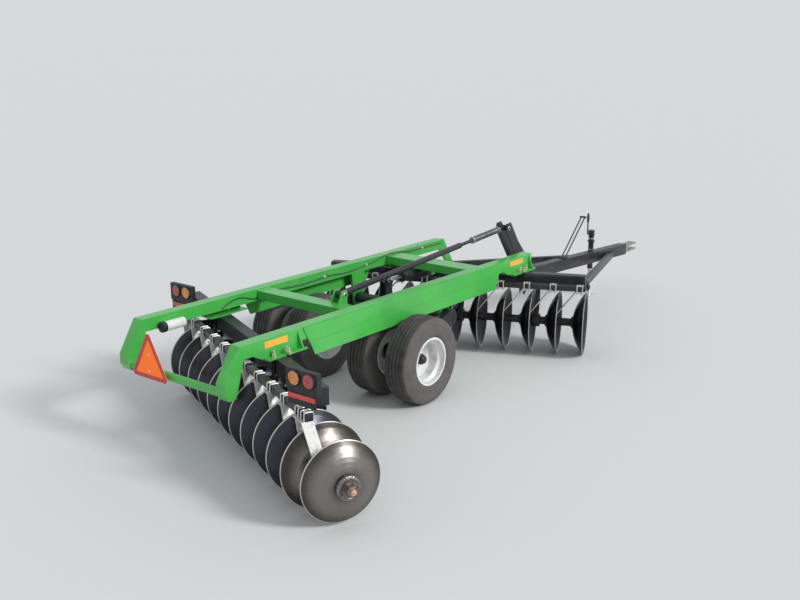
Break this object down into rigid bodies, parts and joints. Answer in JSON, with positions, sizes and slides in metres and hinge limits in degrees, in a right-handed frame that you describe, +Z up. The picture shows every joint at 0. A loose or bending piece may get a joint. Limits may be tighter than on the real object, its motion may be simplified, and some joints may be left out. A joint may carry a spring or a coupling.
{
  "type": "disc harrow",
  "caption": "Wheeled offset disc harrow: two angled disc gangs under a rail frame, trailing-arm axle with twin tyres, lift cylinder and hinged tongue on its jack.",
  "frame": {"origin": "centre of the machine's outline on the floor that it stands on", "axes": "+X forward along the tongue, +Y to the machine's left, +Z up"},
  "size_m": [7.3914, 3.4338, 1.202],
  "materials": {
    "green_paint": "glossy agricultural green paint",
    "black_paint": "semi-gloss black paint",
    "disc_steel": "dark rolled steel, bright at the ground edge",
    "worn_steel": "pale bare steel",
    "plated_steel": "zinc plated",
    "white_paint": "glossy white paint",
    "tyre_rubber": "dusty ribbed rubber",
    "amber_plastic": "amber lens",
    "red_plastic": "red lens",
    "sign_sheet": "fluorescent orange sheet with a red border",
    "white_plastic": "off-white plastic",
    "black_plastic": "moulded black plastic"
  },
  "bodies": {
    "frame": {"right_rail": "green_paint", "left_rail": "green_paint", "rear_crossbeam": "green_paint", "front_crossbeam": "green_paint", "rear_cross_tube": "green_paint", "right_axle_lug": "green_paint", "left_axle_lug": "green_paint", "front_gang_beam": "black_paint", "rear_gang_beam": "black_paint", "front_standards": "black_paint", "rear_standards": "black_paint", "front_scraper_bar": "black_paint", "rear_scraper_bar": "black_paint", "front_scrapers": "worn_steel", "rear_scrapers": "worn_steel", "right_lamp_box": "black_plastic", "left_lamp_box": "black_plastic", "lamp_brackets": "black_paint", "amber_lenses": "amber_plastic", "red_lenses": "red_plastic", "red_reflectors": "red_plastic", "amber_reflectors": "amber_plastic", "slow_sign": "sign_sheet", "sign_bracket": "black_paint", "manual_canister": "white_plastic", "oil_line": "plated_steel"},
    "front_gang": {"front_discs": "disc_steel", "front_gang_shaft": "black_paint"},
    "rear_gang": {"rear_discs": "disc_steel", "rear_gang_shaft": "black_paint"},
    "axle": {"rockshaft": "black_paint", "right_arm": "black_paint", "left_arm": "black_paint"},
    "wheels_right": {"right_outer_tyre": "tyre_rubber", "right_inner_tyre": "tyre_rubber", "right_rims": "white_paint", "right_hubs": "black_paint"},
    "wheels_left": {"left_outer_tyre": "tyre_rubber", "left_inner_tyre": "tyre_rubber", "left_rims": "white_paint", "left_hubs": "black_paint"},
    "lift_barrel": {"lift_barrel": "black_paint"},
    "lift_rod": {"lift_rod": "plated_steel"},
    "tongue": {"tongue_beam": "black_paint", "right_brace": "black_paint", "left_brace": "black_paint", "hitch_clevis": "plated_steel", "mast": "black_paint", "jack": "black_paint", "jack_leg": "plated_steel", "hose_holder": "black_paint"},
    "level_tube": {"level_tube": "black_paint"},
    "level_rod": {"level_rod": "plated_steel", "level_spring": "plated_steel"}
  },
  "joints": [
    {"name": "axle_lift", "type": "hinge", "parent": "frame", "child": "axle", "pos_m": [-0.65415, 0.2013, 0.56], "axis": [0, -1, 0], "range_deg": [-10, 9]},
    {"name": "wheels_right_spin", "type": "hinge", "parent": "axle", "child": "wheels_right", "pos_m": [-1.34415, -0.37471, 0.378], "axis": [0, 1, 0], "continuous": true},
    {"name": "wheels_left_spin", "type": "hinge", "parent": "axle", "child": "wheels_left", "pos_m": [-1.34415, 0.77729, 0.378], "axis": [0, 1, 0], "continuous": true},
    {"name": "lift_swing", "type": "hinge", "parent": "frame", "child": "lift_barrel", "pos_m": [0.03085, 0.3513, 0.755], "axis": [0, -1, 0], "range_deg": [-0.475, 0.428]},
    {"name": "lift_slide", "type": "slide", "parent": "lift_barrel", "child": "lift_rod", "axis": [-0.998, 0, 0.0625], "range_m": [-0.04148, 0.03735]},
    {"name": "front_gang_spin", "type": "hinge", "parent": "frame", "child": "front_gang", "pos_m": [0.16214, 0.16142, 0.31], "axis": [-0.3987, 0.9171, 0], "continuous": true},
    {"name": "rear_gang_spin", "type": "hinge", "parent": "frame", "child": "rear_gang", "pos_m": [-2.66686, 0.24117, 0.31], "axis": [0.3987, 0.9171, 0], "continuous": true},
    {"name": "tongue_tilt", "type": "hinge", "parent": "frame", "child": "tongue", "pos_m": [0.94585, -0.09871, 0.6], "axis": [0, 1, 0], "range_deg": [-5, 5]},
    {"name": "level_swing", "type": "hinge", "parent": "frame", "child": "level_tube", "pos_m": [-1.81415, -0.09871, 0.965], "axis": [0, -1, 0], "range_deg": [-0.489, 0.489]},
    {"name": "level_slide", "type": "slide", "parent": "level_tube", "child": "level_rod", "axis": [0.9972, 0, 0.0744], "range_m": [-0.04992, 0.04992]}
  ],
  "couplings": [
    {"joint": "lift_swing", "follows": "axle_lift", "ratio": 0.0465},
    {"joint": "lift_slide", "follows": "axle_lift", "m_per_rad": 0.2365},
    {"joint": "level_swing", "follows": "tongue_tilt", "ratio": 0.09587},
    {"joint": "level_slide", "follows": "tongue_tilt", "m_per_rad": 0.56973}
  ]
}
